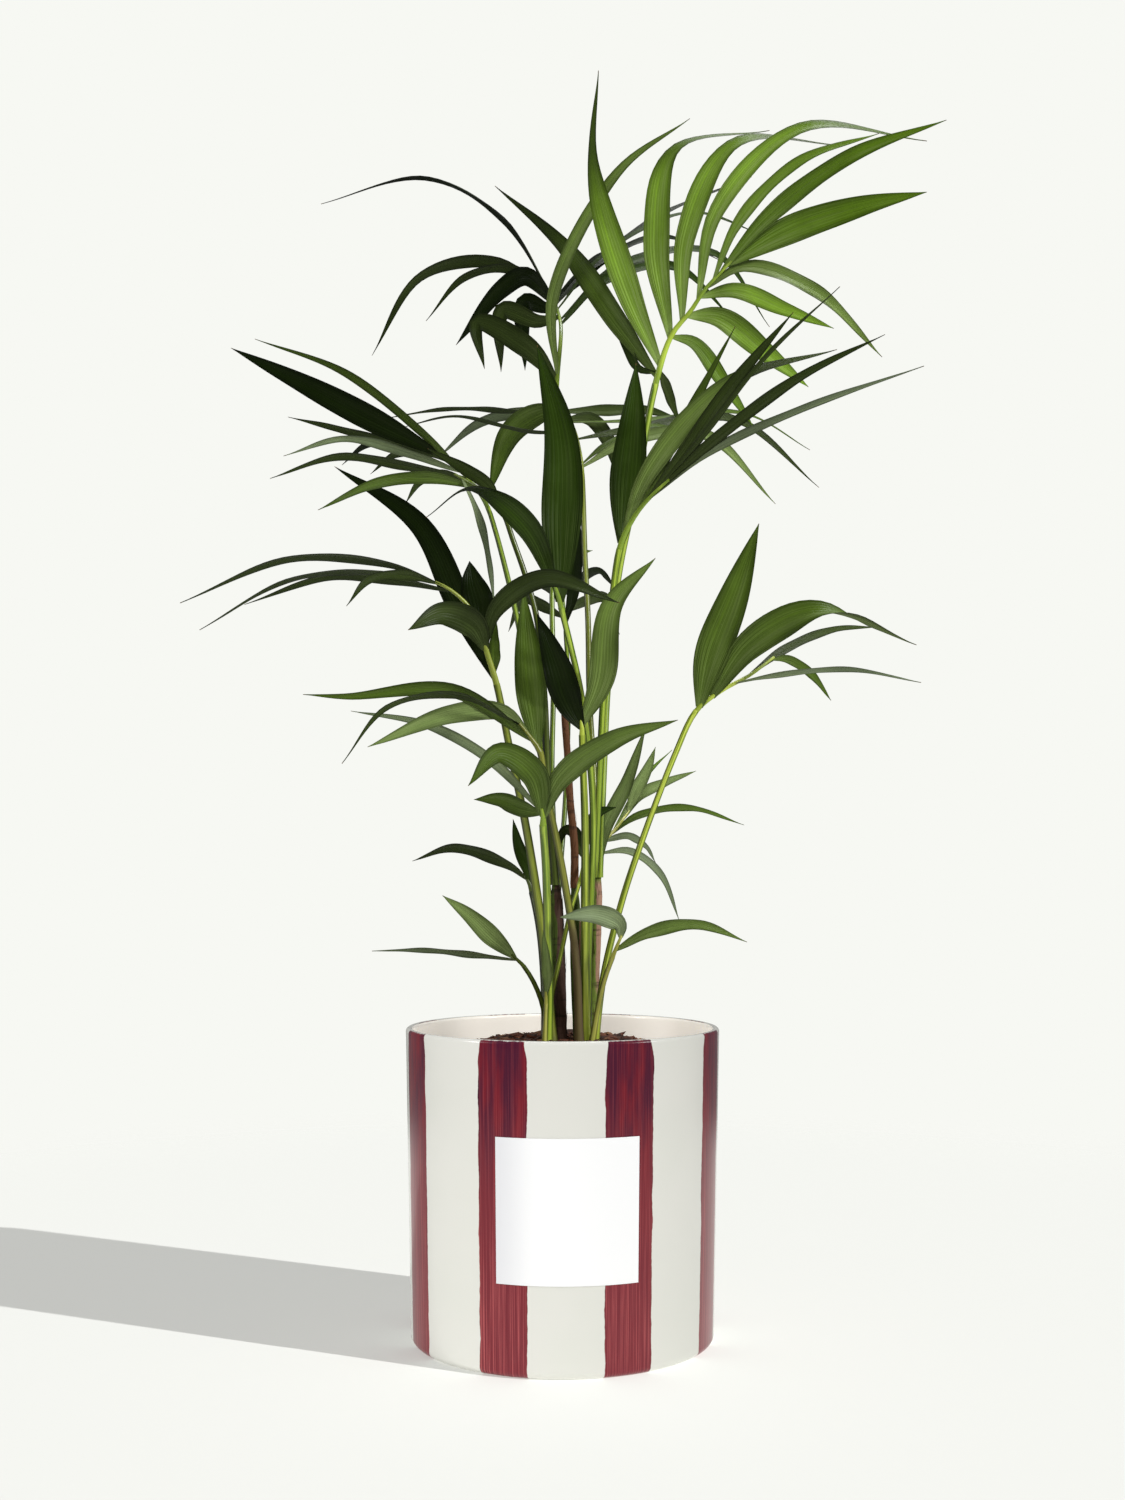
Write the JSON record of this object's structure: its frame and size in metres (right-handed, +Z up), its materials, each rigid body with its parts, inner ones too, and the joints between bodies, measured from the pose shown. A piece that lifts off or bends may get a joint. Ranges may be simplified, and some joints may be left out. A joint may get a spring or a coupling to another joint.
{
  "type": "kentia palm",
  "caption": "Potted kentia palm: slender stalks rise from soil in a striped glazed pot and carry arching fronds of long pointed leaflets.",
  "frame": {"origin": "centre of the pot's flat underside", "axes": "+Z up, the front with the label towards -Y, +X to the right"},
  "size_m": [0.4657, 0.46, 0.8482],
  "materials": {
    "glaze": "glossy cream glaze with hand-brushed burgundy stripes",
    "soil": "moist bark chips and coir",
    "label": "smooth white paper, bare",
    "trunk": "green-brown stem in dry fibrous sheaths",
    "stalk": "smooth yellow-green stalk, satin",
    "leaf": "satin leaf with fine veins along it"
  },
  "bodies": {
    "root": {"pot": "glaze", "soil": "soil", "label": "label", "trunk_left": "trunk", "trunk_centre": "trunk", "trunk_right": "trunk", "trunk_back": "trunk", "dry_stalk": "trunk", "stalk_crown_right": "stalk", "frond_crown_right": "leaf", "stalk_crown_left": "stalk", "frond_crown_left": "leaf", "stalk_back_arch": "stalk", "frond_back_arch": "leaf", "stalk_left_upper": "stalk", "frond_left_upper": "leaf", "stalk_left_inner": "stalk", "frond_left_inner": "leaf", "stalk_centre": "stalk", "frond_centre": "leaf", "stalk_right_mid": "stalk", "frond_right_mid": "leaf", "stalk_left_mid": "stalk", "frond_left_mid": "leaf", "stalk_low_left_front": "stalk", "frond_low_left_front": "leaf", "stalk_low_left_broad": "stalk", "frond_low_left_broad": "leaf", "stalk_mid_pair": "stalk", "frond_mid_pair": "leaf", "stalk_right_low": "stalk", "frond_right_low": "leaf", "stalk_right_cluster": "stalk", "frond_right_cluster": "leaf", "stalk_low_right": "stalk", "frond_low_right": "leaf", "stalk_low_left": "stalk", "frond_low_left": "leaf", "stalk_stub_left": "stalk", "frond_stub_left": "leaf", "stalk_back_mid": "stalk", "frond_back_mid": "leaf", "stalk_small_leaf": "stalk", "frond_small_leaf": "leaf", "stalk_back_low": "stalk", "frond_back_low": "leaf"}
  },
  "joints": []
}
